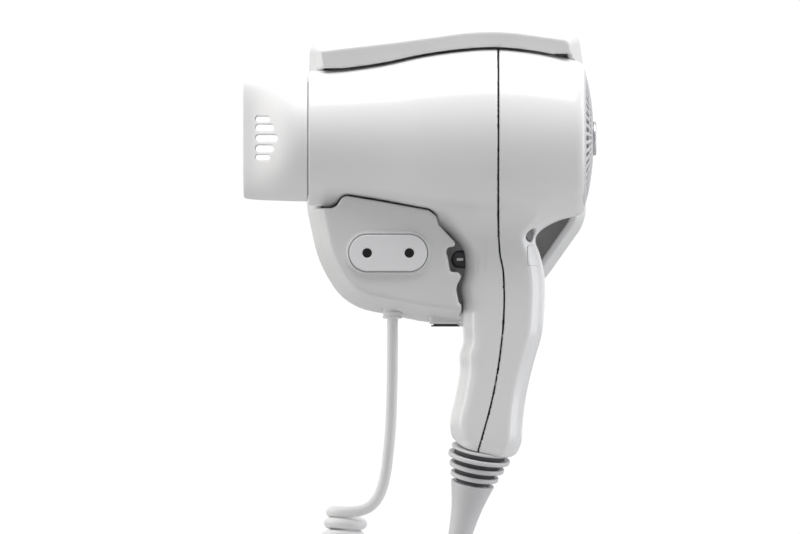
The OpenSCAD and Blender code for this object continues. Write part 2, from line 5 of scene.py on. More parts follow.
import bpy
import numpy as np
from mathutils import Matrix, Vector


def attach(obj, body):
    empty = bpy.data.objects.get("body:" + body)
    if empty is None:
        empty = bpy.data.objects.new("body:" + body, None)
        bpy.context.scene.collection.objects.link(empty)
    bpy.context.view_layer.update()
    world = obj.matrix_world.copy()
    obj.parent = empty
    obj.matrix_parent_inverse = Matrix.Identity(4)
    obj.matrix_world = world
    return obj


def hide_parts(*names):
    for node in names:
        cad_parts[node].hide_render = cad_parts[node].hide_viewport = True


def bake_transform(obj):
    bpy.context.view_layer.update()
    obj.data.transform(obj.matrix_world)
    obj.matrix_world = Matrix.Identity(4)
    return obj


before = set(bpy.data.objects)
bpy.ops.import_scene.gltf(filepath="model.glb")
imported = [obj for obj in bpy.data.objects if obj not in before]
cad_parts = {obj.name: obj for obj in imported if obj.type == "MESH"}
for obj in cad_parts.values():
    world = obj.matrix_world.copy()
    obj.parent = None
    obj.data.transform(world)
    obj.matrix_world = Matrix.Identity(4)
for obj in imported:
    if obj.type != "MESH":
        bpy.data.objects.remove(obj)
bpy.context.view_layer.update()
MM = 0.001

# ---------------------------------------------------------------- the part's own measures, in millimetres

AXIS_OUT = 50.0
AXIS_UP = 16.0
TRAY_DEPTH = 26.0
HOOD_REACH = 60.0
BLOCK_REACH = 69.0
HOLDER_WALL = 2.5
FLOOR_FRONT = 5.5
SHELL_WALL = 2.2
BARREL_FRONT = -61.9
BARREL_REAR = 62.4
SEAT_GAP = 0.4
SPIGOT_R = 25.4
SOCKET_X, SOCKET_Z = -26.0, -35.6
SOCKET_PITCH = 19.0
SOCKET_HOLE_R = 2.15
CORD_D = 4.9
RIM_WIDTH = 3.2
GLAND_X, GLAND_Y = -24.1, -14.0
ROCKER_X, ROCKER_Y = -0.2, -14.5
OUTLET_R, INTAKE_R, INTAKE_FACE = 23.5, 31.4, 58.4
NOZZLE_WALL = 1.8

HOLDER_CORNERS = [
    [-63.2, -14, 40], [-57.8, -39.5, 55], [-45.5, -59.6, 27], [-12, -66.4, 60], [10, -69.4, 9], [29, -63, 16],
    [46, -46, 24], [63.4, -21.5, 20], [63.2, 42, 60], [60, 65, 8.5], [20, 70.6, 120], [-22, 64.8, 90],
    [-61.6, 60.2, 6],
]
BARREL_CURVE = [
    [BARREL_FRONT, 30.2], [-54.5, 30.6], [-44.6, 31.4], [-27.9, 33.8], [-10, 37.6], [8, 40], [23.6, 40.7],
    [41, 38.9], [56, 35.6], [60.6, 34.2], [BARREL_REAR, 32.2],
]
BLOCK_EDGE = [
    [-90, -15.4], [-51.3, -15.4], [-49.2, -14.4], [-47, -11], [-44.9, -9.9], [-30.2, -12.3], [-7.7, -16.4],
    [-4.5, -19], [-3.4, -23], [-1, -25.4], [3.6, -30.4], [4.2, -31.7], [3.6, -32.7], [0.8, -33.2],
    [0, -34.8], [1, -38.7], [1.8, -43.6], [3, -44.2], [5.3, -44.2], [6.6, -45.5], [6.8, -46.6],
    [5, -49.8], [4.6, -52.2], [5.7, -57.6], [6.9, -59], [6.9, -62], [6.3, -63.3], [6.3, -95],
]
BELLY = [
    [-51, -14.4], [-49.6, -13.2], [-47, -10.2], [-44.9, -9.2], [-30.2, -11.6], [-7.7, -15.7], [-3.8, -18.4],
    [-2.7, -22.8], [-2.7, -40], [-51, -40],
]
HANDLE_FRONT = [
    [0, -6], [-2.6, -18.6], [0.4, -25.6], [4.8, -30.4], [7.8, -36], [7.8, -45.5], [6.2, -50.8],
    [7.2, -57], [7.7, -60], [7.5, -68.7], [7.8, -76], [5.9, -81.5], [6.2, -89], [3.8, -102],
    [1.7, -110.5], [2.4, -117.8], [3.6, -120.2],
]
HANDLE_REAR = [
    [45, -8], [45.4, -19.5], [40.8, -25.6], [40, -30.4], [42, -35], [44.6, -48.4], [43.9, -68],
    [42.4, -75.4], [40.4, -82], [38, -91], [35.8, -102], [34.7, -112], [34, -121], [31.3, -126.8],
]
HANDLE_HALF = [
    [-7, 15.5], [-36, 15.3], [-50, 15.5], [-68, 15.5], [-76, 15.2], [-82, 15], [-90, 14.6], [-102, 14.2],
    [-111, 13.8], [-119, 13.2], [-124, 12.4],
]
PARTING = [
    [80, 23.6], [-23, 23.6], [-43, 25.7], [-56.5, 26.2], [-68.7, 25.7], [-80, 24.5], [-92, 22.7],
    [-104, 20.2], [-115.5, 17.1], [-125, 14.4], [-134, 12.3],
]
NOZZLE = [
    [-62.2, 28.4, 28.4], [-68, 28.3, 27.4], [-74, 28.1, 23.5], [-80, 27.9, 17], [-86, 27.6, 11],
    [-91.4, 27.4, 8],
]

# ---------------------------------------------------------------- fields: negative inside, in millimetres


def smax(a, b, k):
    """The larger of two fields, with their edge rounded over about k."""
    h = np.maximum(k - np.abs(a - b), 0) / k
    return np.maximum(a, b) + h * h * k / 4


def smin(a, b, k):
    """The smaller of two fields, with their corner filled over about k."""
    return -smax(-a, -b, k)


def weights(t):
    """Catmull-Rom weights of four neighbours at a share t between the middle two."""
    t2, t3 = t * t, t * t * t
    return (-t3 + 2 * t2 - t) / 2, (3 * t3 - 5 * t2 + 2) / 2, (-3 * t3 + 4 * t2 + t) / 2, (t3 - t2) / 2


class Curve:
    """A smooth function of one number through a few points."""

    def __init__(self, points, soft=1.2, step=0.25):
        points = np.array(sorted(points), float)
        m = len(points)
        run = []
        for i in range(m - 1):
            near = [points[max(i - 1, 0)], points[i], points[i + 1], points[min(i + 2, m - 1)]]
            for t in np.arange(0, 1, 1 / 24):
                run.append(sum(w * p for w, p in zip(weights(t), near)))
        run = np.array(run + [points[-1]])
        self.lo, self.step = points[0, 0], step
        grid = np.arange(points[0, 0], points[-1, 0] + step, step)
        values = np.interp(grid, run[:, 0], run[:, 1])
        if soft:
            reach = int(3 * soft / step)
            kernel = np.exp(-0.5 * (np.arange(-reach, reach + 1) * step / soft) ** 2)
            slope_a, slope_b = values[1] - values[0], values[-1] - values[-2]
            head = values[0] + slope_a * np.arange(-reach, 0)
            tail = values[-1] + slope_b * np.arange(1, reach + 1)
            values = np.convolve(np.concatenate([head, values, tail]), kernel / kernel.sum(), "valid")
        self.values = values

    def __call__(self, x):
        t = np.clip((np.asarray(x, float) - self.lo) / self.step, 0, len(self.values) - 1.001)
        i = np.clip(t.astype(int), 1, len(self.values) - 3)
        return sum(w * self.values[i + k - 1] for k, w in enumerate(weights(t - i)))


def corner_arcs(corners):
    """Arcs and straight runs of a closed outline [x, z, radius] given anticlockwise."""
    n = len(corners)
    pts = np.array([c[:2] for c in corners], float)
    arcs = []
    for i in range(n):
        a, b, c = pts[i - 1], pts[i], pts[(i + 1) % n]
        u, v = (a - b) / np.linalg.norm(a - b), (c - b) / np.linalg.norm(c - b)
        half = math.acos(max(-1, min(1, float(u @ v)))) / 2
        longest = 0.49 * min(np.linalg.norm(a - b), np.linalg.norm(c - b))
        reach = min(corners[i][2] / math.tan(half), longest)
        if reach < 1e-6 or half > math.pi / 2 - 1e-4:
            arcs.append((b, 0.0, b, b, 1.0))
            continue
        r = reach * math.tan(half)
        centre = b + (u + v) / np.linalg.norm(u + v) * r / math.sin(half)
        turn = np.sign((b - a)[0] * (c - b)[1] - (b - a)[1] * (c - b)[0])
        arcs.append((centre, r, b + u * reach, b + v * reach, turn))
    return arcs


class Plan:
    """Signed distance to a rounded outline in X and Z, kept on a grid and read smoothly."""

    def __init__(self, corners, radius=None, step=0.5, reach=100):
        if radius is not None:
            corners = [[c[0], c[1], radius] for c in corners]
        self.lo, self.step = -reach - 30.0, step
        axis = np.arange(self.lo, reach + 30, step)
        gx, gz = np.meshgrid(axis, axis, indexing="ij")
        best = np.full(gx.shape, 1e9)
        arcs = corner_arcs(corners)
        for i, (centre, r, p, q, turn) in enumerate(arcs):
            if r > 0:
                dx, dz = gx - centre[0], gz - centre[1]
                one = ((p - centre)[0] * dz - (p - centre)[1] * dx) * turn
                two = (dx * (q - centre)[1] - dz * (q - centre)[0]) * turn
                d = (np.hypot(dx, dz) - r) * turn
                use = (one > -1e-6) & (two > -1e-6) & (np.abs(d) < np.abs(best))
                best[use] = d[use]
            nxt = arcs[(i + 1) % len(arcs)][2]
            length = np.linalg.norm(nxt - q)
            if length > 1e-9:
                e = (nxt - q) / length
                along = (gx - q[0]) * e[0] + (gz - q[1]) * e[1]
                d = (gx - q[0]) * e[1] - (gz - q[1]) * e[0]
                use = (along > -1e-6) & (along < length + 1e-6) & (np.abs(d) < np.abs(best))
                best[use] = d[use]
        self.values = best

    def __call__(self, x, z):
        n = self.values.shape[0]
        tx, tz = (x - self.lo) / self.step, (z - self.lo) / self.step
        i = np.clip(tx.astype(int), 1, n - 3)
        j = np.clip(tz.astype(int), 1, n - 3)
        wx, wz = weights(np.clip(tx - i, 0, 1)), weights(np.clip(tz - j, 0, 1))
        flat, total = self.values.ravel(), 0
        for a in range(4):
            row = (i + a - 1) * n + j - 1
            total = total + wx[a] * sum(wz[b] * flat[row + b] for b in range(4))
        return total


# ---------------------------------------------------------------- from a field to a mesh


def sample(field, lo, hi, pitch, band=4):
    """The field on a fine grid, worked out only near its surface."""
    lo = np.array(lo, float)
    cells = np.ceil((np.array(hi, float) - lo) / (pitch * band)).astype(int)
    shape = cells * band + 1
    rough_axes = [lo[k] + np.arange(cells[k] + 1) * pitch * band for k in range(3)]
    rough = field(*[g.ravel() for g in np.meshgrid(*rough_axes, indexing="ij")]).reshape(cells + 1)
    ends = [(i, j, k) for i in (0, 1) for j in (0, 1) for k in (0, 1)]
    corners = [rough[i:i + cells[0], j:j + cells[1], k:k + cells[2]] for i, j, k in ends]
    near = np.min(np.abs(corners), axis=0) < 1.35 * band * pitch
    near |= (np.min(corners, axis=0) < 0) & (np.max(corners, axis=0) > 0)
    index = [np.minimum((np.arange(s) + band // 2) // band, c) for s, c in zip(shape, cells)]
    values = rough[np.ix_(*index)].astype(np.float32)
    need = np.zeros(shape, bool)
    active = np.argwhere(near) * band
    for i in range(band + 1):
        for j in range(band + 1):
            for k in range(band + 1):
                need[active[:, 0] + i, active[:, 1] + j, active[:, 2] + k] = True
    spots = np.argwhere(need)
    found = np.empty(len(spots), np.float32)
    for s in range(0, len(spots), 200000):
        p = lo + spots[s:s + 200000] * pitch
        found[s:s + 200000] = field(p[:, 0], p[:, 1], p[:, 2])
    values[need] = found
    return values


def nets(values):
    """Quads of a closed surface through a grid's zero, in grid steps."""
    inside = values < 0
    shape = np.array(values.shape)
    strides = np.array([shape[1] * shape[2], shape[2], 1])
    keys, points, quads = [], [], []
    for a in range(3):
        b, c = (a + 1) % 3, (a + 2) % 3
        low = [slice(None)] * 3
        high = [slice(None)] * 3
        low[a], high[a] = slice(0, -1), slice(1, None)
        spots = np.argwhere(inside[tuple(low)] != inside[tuple(high)])
        spots = spots[(spots[:, b] > 0) & (spots[:, c] > 0)]
        spots = spots[(spots[:, b] < shape[b] - 1) & (spots[:, c] < shape[c] - 1)]
        ahead = spots.copy()
        ahead[:, a] += 1
        v0, v1 = values[tuple(spots.T)], values[tuple(ahead.T)]
        p = spots.astype(float)
        p[:, a] += v0 / (v0 - v1)
        base = spots @ strides
        four = [base, base - strides[b], base - strides[b] - strides[c], base - strides[c]]
        quad = np.stack(four, 1)
        quad[v0 >= 0] = quad[v0 >= 0][:, ::-1]
        quads.append(quad)
        for cell in four:
            keys.append(cell)
            points.append(p)
    keys, points, quads = np.concatenate(keys), np.concatenate(points), np.concatenate(quads)
    names, back = np.unique(keys, return_inverse=True)
    count = np.bincount(back)
    verts = np.stack([np.bincount(back, points[:, k]) / count for k in range(3)], 1)
    return verts, np.searchsorted(names, quads)


def slopes(field, p, h):
    """The field and its gradient, from four samples round each point."""
    signs = np.array([[1, -1, -1], [-1, -1, 1], [-1, 1, -1], [1, 1, 1]], float)
    total, gradient = 0, 0
    for s in signs:
        q = p + s * h
        v = field(q[:, 0], q[:, 1], q[:, 2])
        total = total + v
        gradient = gradient + v[:, None] * s
    return total / 4, gradient / (4 * h)


def moulded(name, field, lo, hi, pitch):
    """A smooth closed mesh of a field, with its normals from the field itself."""
    verts, quads = nets(sample(field, lo, hi, pitch))
    verts = np.array(lo, float) + verts * pitch
    for _ in range(4):
        value, g = slopes(field, verts, 0.02)
        step = value[:, None] * g / np.maximum((g * g).sum(1), 0.05)[:, None]
        size = np.linalg.norm(step, axis=1)[:, None]
        verts = verts - step * np.minimum(1, 0.6 * pitch / np.maximum(size, 1e-9))
    _, normals = slopes(field, verts, 0.12)
    normals /= np.maximum(np.linalg.norm(normals, axis=1), 1e-9)[:, None]
    return mesh_object(name, verts, quads, normals)


def mesh_object(name, verts, faces, normals=None):
    """A mesh object from points in millimetres."""
    mesh = bpy.data.meshes.new(name)
    faces = np.asarray(faces)
    mesh.vertices.add(len(verts))
    mesh.vertices.foreach_set("co", (np.asarray(verts) * MM).astype(np.float32).ravel())
    mesh.loops.add(faces.size)
    mesh.loops.foreach_set("vertex_index", faces.astype(np.int32).ravel())
    mesh.polygons.add(len(faces))
    mesh.polygons.foreach_set("loop_start", np.arange(0, faces.size, faces.shape[1], dtype=np.int32))
    mesh.update(calc_edges=True)
    mesh.shade_smooth()
    if normals is not None:
        mesh.normals_split_custom_set_from_vertices([tuple(n) for n in normals])
    obj = bpy.data.objects.new(name, mesh)
    bpy.context.scene.collection.objects.link(obj)
    return obj


# ---------------------------------------------------------------- materials


def shade(name, tint, rough, grain=900.0, bump=0.1, spread=0.03, metallic=0.0, coat=0.0, sheen=0.0,
          cloud=45.0):
    """A moulded surface: its tint and gloss drift a little, with a fine grain in its normals."""
    mat = bpy.data.materials.new(name)
    mat.use_nodes = True
    nodes, links = mat.node_tree.nodes, mat.node_tree.links
    shader = nodes["Principled BSDF"]
    shader.inputs["Metallic"].default_value = metallic
    shader.inputs["Coat Weight"].default_value = coat
    shader.inputs["Coat Roughness"].default_value = 0.12
    shader.inputs["Sheen Weight"].default_value = sheen
    where = nodes.new("ShaderNodeTexCoord")
    drift = nodes.new("ShaderNodeTexNoise")
    drift.inputs["Scale"].default_value = cloud
    drift.inputs["Detail"].default_value = 5.0
    fine = nodes.new("ShaderNodeTexNoise")
    fine.inputs["Scale"].default_value = grain
    fine.inputs["Detail"].default_value = 3.0
    ramp = nodes.new("ShaderNodeValToRGB")
    ramp.color_ramp.elements[0].position = 0.3
    ramp.color_ramp.elements[1].position = 0.7
    ramp.color_ramp.elements[0].color = [c * (1 - spread) for c in tint] + [1]
    ramp.color_ramp.elements[1].color = list(tint) + [1]
    gloss = nodes.new("ShaderNodeMapRange")
    gloss.inputs["To Min"].default_value = max(0.02, rough - 0.04)
    gloss.inputs["To Max"].default_value = rough + 0.05
    height = nodes.new("ShaderNodeBump")
    height.inputs["Strength"].default_value = bump
    height.inputs["Distance"].default_value = 0.0002
    for noise in (drift, fine):
        links.new(where.outputs["Object"], noise.inputs["Vector"])
    links.new(drift.outputs["Fac"], ramp.inputs["Fac"])
    links.new(ramp.outputs["Color"], shader.inputs["Base Color"])
    links.new(fine.outputs["Fac"], gloss.inputs["Value"])
    links.new(gloss.outputs["Result"], shader.inputs["Roughness"])
    links.new(fine.outputs["Fac"], height.inputs["Height"])
    links.new(height.outputs["Normal"], shader.inputs["Normal"])
    return mat


HANDSET = shade("handset_gloss", (0.84, 0.84, 0.84), 0.22, grain=700, bump=0.02, spread=0.012, coat=0.35)
HOLDER = shade("holder_texture", (0.74, 0.74, 0.74), 0.42, grain=1500, bump=0.30, spread=0.02)
NOZZLE_PLASTIC = shade("nozzle_satin", (0.84, 0.84, 0.84), 0.36, grain=1100, bump=0.08, spread=0.015)
INSERT = shade("insert_satin", (0.84, 0.84, 0.85), 0.3, grain=1200, bump=0.05, spread=0.015)
GRILLE = shade("grille_satin", (0.62, 0.62, 0.63), 0.35, grain=1200, bump=0.08)
CAP = shade("cap_turned", (0.62, 0.62, 0.64), 0.25, grain=1800, bump=0.1, metallic=1.0)
# painted shade: the lip seen through the parting line's gap is painted near-black
SEAM_GAP_SHADE = shade("seam_gap_painted_shade", (0.035, 0.035, 0.04), 0.6, grain=1500, bump=0.1)
BUTTON = shade("button_satin", (0.045, 0.045, 0.05), 0.35, grain=1500, bump=0.1, spread=0.15)
COOL = shade("cool_grey", (0.16, 0.16, 0.17), 0.4, grain=1500, bump=0.1, spread=0.1)
RIDGE_TIP_WHITE = shade("ridge_tip_white", (0.8, 0.8, 0.8), 0.5, grain=1500, bump=0.1)
BOOT = shade("boot_rubber", (0.66, 0.66, 0.67), 0.42, grain=1300, bump=0.12, spread=0.02)
# painted shade for the boot's neck between its rings
GROOVE_SHADE = shade("boot_groove_painted_shade", (0.09, 0.09, 0.095), 0.6, grain=1300, bump=0.12)
CORD = shade("cord_jacket", (0.83, 0.83, 0.83), 0.38, grain=1100, bump=0.12, spread=0.02)
GLAND = shade("gland_soft", (0.8, 0.8, 0.8), 0.5, grain=1300, bump=0.1)
# dark mouldings inside, and the painted shade of the discs behind the socket's holes
DARK_AND_HOLE_SHADE = shade("dark_moulding_and_hole_shade", (0.05, 0.05, 0.055), 0.45, grain=1500, bump=0.15, spread=0.1)
# painted shade for the tray floor, a touch darker than the holder
TRAY_FLOOR_SHADE = shade("tray_floor_matt_painted_shade", (0.72, 0.72, 0.725), 0.6, grain=1400, bump=0.2)
PLATE = shade("plate_matt", (0.66, 0.66, 0.67), 0.55, grain=1400, bump=0.2)
STEEL = shade("plated_steel", (0.6, 0.6, 0.62), 0.28, grain=2200, bump=0.1, metallic=1.0)
BRASS = shade("plain_brass", (0.72, 0.55, 0.27), 0.3, grain=2200, bump=0.1, metallic=1.0)
TERMINAL = shade("terminal_plastic", (0.72, 0.72, 0.68), 0.4, grain=1300, bump=0.1)
WIRE = shade("wire_sleeve", (0.16, 0.16, 0.2), 0.45, grain=1500, bump=0.1)
BOARD = shade("board_mask", (0.05, 0.2, 0.08), 0.35, grain=1500, bump=0.15, spread=0.2)
MICA = shade("mica_sheet", (0.5, 0.42, 0.3), 0.45, grain=600, bump=0.35, spread=0.3, cloud=200)
HEATER = shade("heating_wire", (0.4, 0.38, 0.36), 0.5, grain=2500, bump=0.2, metallic=1.0, spread=0.2)
FLOOR = shade("floor_paper", (0.42, 0.42, 0.42), 0.7, grain=300, bump=0.05, spread=0.01, cloud=3.0)

for names, mat in (
    ("back_plate", PLATE), ("cover_screws terminal_screws housing_screws motor motor_shaft", STEEL),
    ("trigger_spring thermal_fuse", STEEL), ("socket_contacts thermostat", BRASS),
    ("socket_body cord_anchor rocker_frame outlet_grille motor_mount impeller", DARK_AND_HOLE_SHADE),
    ("trigger_switch cool_switch handle_clamp lint_filter", DARK_AND_HOLE_SHADE), ("terminal_block socket_fuse", TERMINAL),
    ("holder_wiring handle_wiring", WIRE), ("rectifier_board", BOARD), ("mica_boards mica_sleeve", MICA),
    ("heating_coils", HEATER), ("cable_gland", GLAND), ("rocker_switch", BUTTON),
    ("trigger_button cool_button", BUTTON), ("cord_boot", BOOT), ("rear_grille", GRILLE), ("grille_cap", CAP),
):
    for node in names.split():
        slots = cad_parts[node].data.materials
        if len(slots) == 0:
            slots.append(mat)
        for k in range(len(slots)):
            slots[k] = mat


def finished(obj, mat, body, slot, *nodes):
    """Gives a piece its material and body, and the CAD nodes it stands for; its slot is not used."""
    obj.data.materials.append(mat)
    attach(obj, body)
    if nodes:
        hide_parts(*nodes)
    return obj


def second_material(obj, mat, chosen):
    """Another material on the faces whose centres, in millimetres, are chosen."""
    mesh = obj.data
    mesh.materials.append(mat)
    centres = np.zeros(len(mesh.polygons) * 3)
    mesh.polygons.foreach_get("center", centres)
    picked = chosen(*(centres.reshape(-1, 3) / MM).T)
    mesh.polygons.foreach_set("material_index", picked.astype(np.int32) * (len(mesh.materials) - 1))
    mesh.update()


# ---------------------------------------------------------------- camera, sky, lights, floor

scene = bpy.context.scene
scene.view_settings.view_transform = "Standard"
camera = bpy.data.objects.new("camera", bpy.data.cameras.new("camera"))
scene.collection.objects.link(camera)
scene.camera = camera
LENS, SENSOR = 1200.0, 36.0
VIEW_WIDTH, VIEW_X, VIEW_Z = 0.360, -0.0207, -0.0419
VIEW_PLANE = -0.060
camera.data.lens = LENS
camera.data.sensor_width = SENSOR
camera.data.clip_end = 50
camera.location = (VIEW_X, VIEW_PLANE - VIEW_WIDTH * LENS / SENSOR, VIEW_Z)
camera.rotation_euler = (math.pi / 2, 0, 0)

world = bpy.data.worlds.new("studio")
scene.world = world
world.use_nodes = True
sky_nodes, sky_links = world.node_tree.nodes, world.node_tree.links
background = sky_nodes["Background"]
place = sky_nodes.new("ShaderNodeTexCoord")
split = sky_nodes.new("ShaderNodeSeparateXYZ")
ramp = sky_nodes.new("ShaderNodeValToRGB")
spread = sky_nodes.new("ShaderNodeMapRange")
spread.inputs["From Min"].default_value = -1.0
sky_links.new(place.outputs["Generated"], split.inputs["Vector"])
sky_links.new(split.outputs["Y"], spread.inputs["Value"])
sky_links.new(spread.outputs["Result"], ramp.inputs["Fac"])
sky_links.new(ramp.outputs["Color"], background.inputs["Color"])
ramp.color_ramp.elements[0].position = 0.45
ramp.color_ramp.elements[0].color = (0.46, 0.46, 0.465, 1)
ramp.color_ramp.elements[1].position = 0.85
ramp.color_ramp.elements[1].color = (1.02, 1.02, 1.02, 1)
background.inputs["Strength"].default_value = 1.0


def softbox(name, place, aim, size, power, tint=(1, 1, 1)):
    """A soft rectangular light, in metres and watts, that faces a point."""
    light = bpy.data.objects.new(name, bpy.data.lights.new(name, "AREA"))
    light.data.shape = "RECTANGLE"
    light.data.size, light.data.size_y = size
    light.data.energy = power
    light.data.color = tint
    light.location = place
    light.rotation_euler = (Vector(aim) - Vector(place)).to_track_quat("-Z", "Y").to_euler()
    scene.collection.objects.link(light)
    return light


softbox("top_box", (0.0, -0.44, 2.2), (0, -0.05, 0), (2.4, 1.6), 55.0)
softbox("left_box", (-1.1, -0.05, 0.15), (0, -0.05, -0.03), (0.5, 1.2), 4.0, (1.0, 0.97, 0.94))
softbox("right_box", (1.1, 0.0, 0.1), (0, -0.05, -0.03), (0.5, 1.2), 4.0, (0.95, 0.96, 1.0))

FLOOR_Z, FLOOR_HALF = -0.345, 4000
FLOOR_SIDES = ((-1, -1), (1, -1), (1, 1), (-1, 1))
floor_corners = [[a * FLOOR_HALF, b * FLOOR_HALF, FLOOR_Z / MM] for a, b in FLOOR_SIDES]
floor = mesh_object("floor", floor_corners, [[0, 1, 2, 3]])
floor.data.materials.append(FLOOR)

# ---------------------------------------------------------------- the cord

LEAD_ROUTE = [
    [-24.1, -14, -65.3], [-24.1, -14.1, -72], [-24.1, -14.6, -82], [-24.2, -15.8, -93], [-24.5, -17.6, -104],
    [-25, -19.6, -115], [-25.9, -21.4, -125], [-27, -22.7, -134], [-28.6, -23.7, -141], [-31, -24.3, -146.4],
    [-34.2, -24.7, -149.9], [-38, -25.1, -151.7], [-42, -25.3, -152.3],
]
CURL_TOP = np.array([-45.2, -18, -152.4])
TAIL_TOP = np.array([2, -AXIS_OUT, -200.0])
BOOT_TIP = np.array([2, -AXIS_OUT, -180.0])
BEND_Z = -292.6
CURL_R = 7.3
LEG_PITCH, BEND_PITCH = 5.35, 6.8
LEAN = [[0, 0.9], [5, 0], [10, -1.2], [18, -2.2], [32, -2.3], [60, -1.0], [90, 0], [140, 0]]
PER_TURN, SIDES = 20, 14
DOWN = np.array([0, 0, -1.0])
GAP = TAIL_TOP - CURL_TOP
GAP[2] = 0
BEND_R = np.linalg.norm(GAP) / 2
ACROSS = GAP / (2 * BEND_R)
LEG_A, LEG_B = CURL_TOP[2] - BEND_Z, TAIL_TOP[2] - BEND_Z
lean = Curve(LEAN, soft=2.0)


def curl_line(s):
    """The curl's centre line: a point and its heading at a distance s from its top."""
    if s < LEG_A:
        slope = lean(s + 0.5) - lean(s - 0.5)
        heading = DOWN + np.array([slope, 0, 0])
        return CURL_TOP + DOWN * s + np.array([float(lean(s)), 0, 0]), heading / np.linalg.norm(heading)
    angle = (s - LEG_A) / BEND_R
    foot = CURL_TOP + DOWN * LEG_A
    if angle < math.pi:
        reach = foot + BEND_R * (DOWN * math.sin(angle) + ACROSS * (1 - math.cos(angle)))
        return reach, DOWN * math.cos(angle) + ACROSS * math.sin(angle)
    return foot + ACROSS * 2 * BEND_R - DOWN * (s - LEG_A - math.pi * BEND_R), -DOWN


def curl():
    """The curl as one wire, from the front of its first turn to the middle of its last."""
    normal = np.cross(ACROSS, DOWN)
    total = LEG_A + math.pi * BEND_R + LEG_B
    front = np.array([0, -1.0, 0])
    side = np.cross(normal, DOWN)
    turn = math.atan2(front @ normal, front @ side)
    s, out = 0.0, []
    while s < total:
        centre, heading = curl_line(s)
        across = np.cross(normal, heading)
        left = (total - s) / (1.6 * LEG_PITCH)
        r = CURL_R * math.sin(min(1.0, left) * math.pi / 2)
        out.append(centre + r * (math.cos(turn) * across + math.sin(turn) * np.cross(heading, across)))
        bend = min(max((s - LEG_A + 14) / 14, 0), 1) * min(max((total - LEG_B + 14 - s) / 14, 0), 1)
        pitch = LEG_PITCH + (BEND_PITCH - LEG_PITCH) * bend
        s += pitch / PER_TURN
        turn += 2 * math.pi / PER_TURN
    return out


def catmull(points, n):
    """A smooth curve through the points, with n steps between each two."""
    out = []
    m = len(points) - 1
    for i in range(m):
        near = [points[max(i - 1, 0)], points[i], points[i + 1], points[min(i + 2, m)]]
        for k in range(n):
            out.append(sum(w * np.array(p, float) for w, p in zip(weights(k / n), near)))
    return out + [np.array(points[-1], float)]


def swept(name, path, radius, sides):
    """A round tube along a path, with closed ends and frames that don't twist."""
    path = np.array(path)
    heading = np.gradient(path, axis=0)
    heading /= np.linalg.norm(heading, axis=1)[:, None]
    u = np.cross(heading[0], [0.3, 1, 0.1])
    rings, normals = [], []
    angles = np.arange(sides) * 2 * math.pi / sides
    for p, h in zip(path, heading):
        u = u - (u @ h) * h
        u /= np.linalg.norm(u)
        v = np.cross(h, u)
        out = np.cos(angles)[:, None] * u + np.sin(angles)[:, None] * v
        rings.append(p + radius * out)
        normals.append(out)
    n = len(path)
    a = np.arange(n - 1)[:, None] * sides + np.arange(sides)
    b = np.arange(n - 1)[:, None] * sides + (np.arange(sides) + 1) % sides
    quads = np.stack([a, b, b + sides, a + sides], 2).reshape(-1, 4)
    ends = [path[0], path[-1]]
    verts = np.concatenate(rings + [np.array(ends)])
    first, last = n * sides, n * sides + 1
    k = np.arange(0, sides, 2)
    start = np.stack([np.full(len(k), first), (k + 2) % sides, (k + 1) % sides, k], 1)
    base = (n - 1) * sides
    stop = np.stack([np.full(len(k), last), base + k, base + (k + 1) % sides, base + (k + 2) % sides], 1)
    out = np.concatenate(normals + [np.array([-heading[0], heading[-1]])])
    return mesh_object(name, verts, np.concatenate([quads, start, stop]), out)


curl_wire = curl()
cord_path = catmull(LEAD_ROUTE + [curl_wire[0]], 5)[:-1] + curl_wire
cord_path += [cord_path[-1] + (BOOT_TIP - cord_path[-1]) * k for k in (0.2, 0.4, 0.6, 0.8, 1.08)]
cord = swept("flex", cord_path, CORD_D / 2, SIDES)
cord.data.materials.append(CORD)
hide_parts("cord_lead", "cord_coil", "cord_tail")
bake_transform(cord)

# ---------------------------------------------------------------- the handset's shells

barrel_r = Curve(BARREL_CURVE, soft=1.0)
front_x = Curve([[z, x] for x, z in HANDLE_FRONT], soft=1.6)
rear_x = Curve([[z, x] for x, z in HANDLE_REAR], soft=1.8)
half_w = Curve(HANDLE_HALF, soft=3.0)
parting_x = Curve(PARTING, soft=2.0)
belly_plan = Plan(BELLY[::-1], radius=3.0)
SEAM_HALF = 0.33
DROOP = 0.19


def from_axis(y, z):
    """Distance from the barrel's axis."""
    return np.hypot(y + AXIS_OUT, z - AXIS_UP)


def barrel(x, y, z):
    """The barrel, cut back under its belly to clear the socket block."""
    r = barrel_r(x)
    side = (from_axis(y, z) - r) * 0.985
    flat = 0.5 * np.abs(y + AXIS_OUT) + 0.866 * (AXIS_UP - z) - 0.97 * r
    f = smax(smax(side, flat, 0.8), BARREL_FRONT - x, 0.6)
    f = smax(f, x - BARREL_REAR, 1.2)
    return smax(f, -belly_plan(x, z), 1.5)


def handle(x, y, z):
    """The handle: bevelled at front and back, with a drooping lower end."""
    lo, hi, w = front_x(z), rear_x(z), half_w(z)
    a = (hi - lo) / 2
    dx, dy = x - (hi + lo) / 2, np.abs(y + AXIS_OUT)
    f = smax(dy - w, -0.8 * dx + 0.6 * dy - (0.8 * (a - 6) + 0.6 * w), 2.5)
    f = smax(f, 0.733 * dx + 0.68 * dy - (0.733 * (a - 6.4) + 0.68 * w), 1.2)
    f = smax(f, -dx - a, 4)
    f = smax(f, dx - a, 4)
    f = smax(f, z + 2, 2)
    end = -0.2317 * (x - 3.6) - 0.9727 * (z + 120.8) + DROOP * (y + AXIS_OUT)
    return smax(f, end, 3)


def handset_solid(x, y, z):
    return smin(barrel(x, y, z), handle(x, y, z), 9)


TRIGGER_Z = -38.5
COOL_AT = np.array([38, -AXIS_OUT - 10.6, -27.6])
COOL_TURN = math.radians(-37)


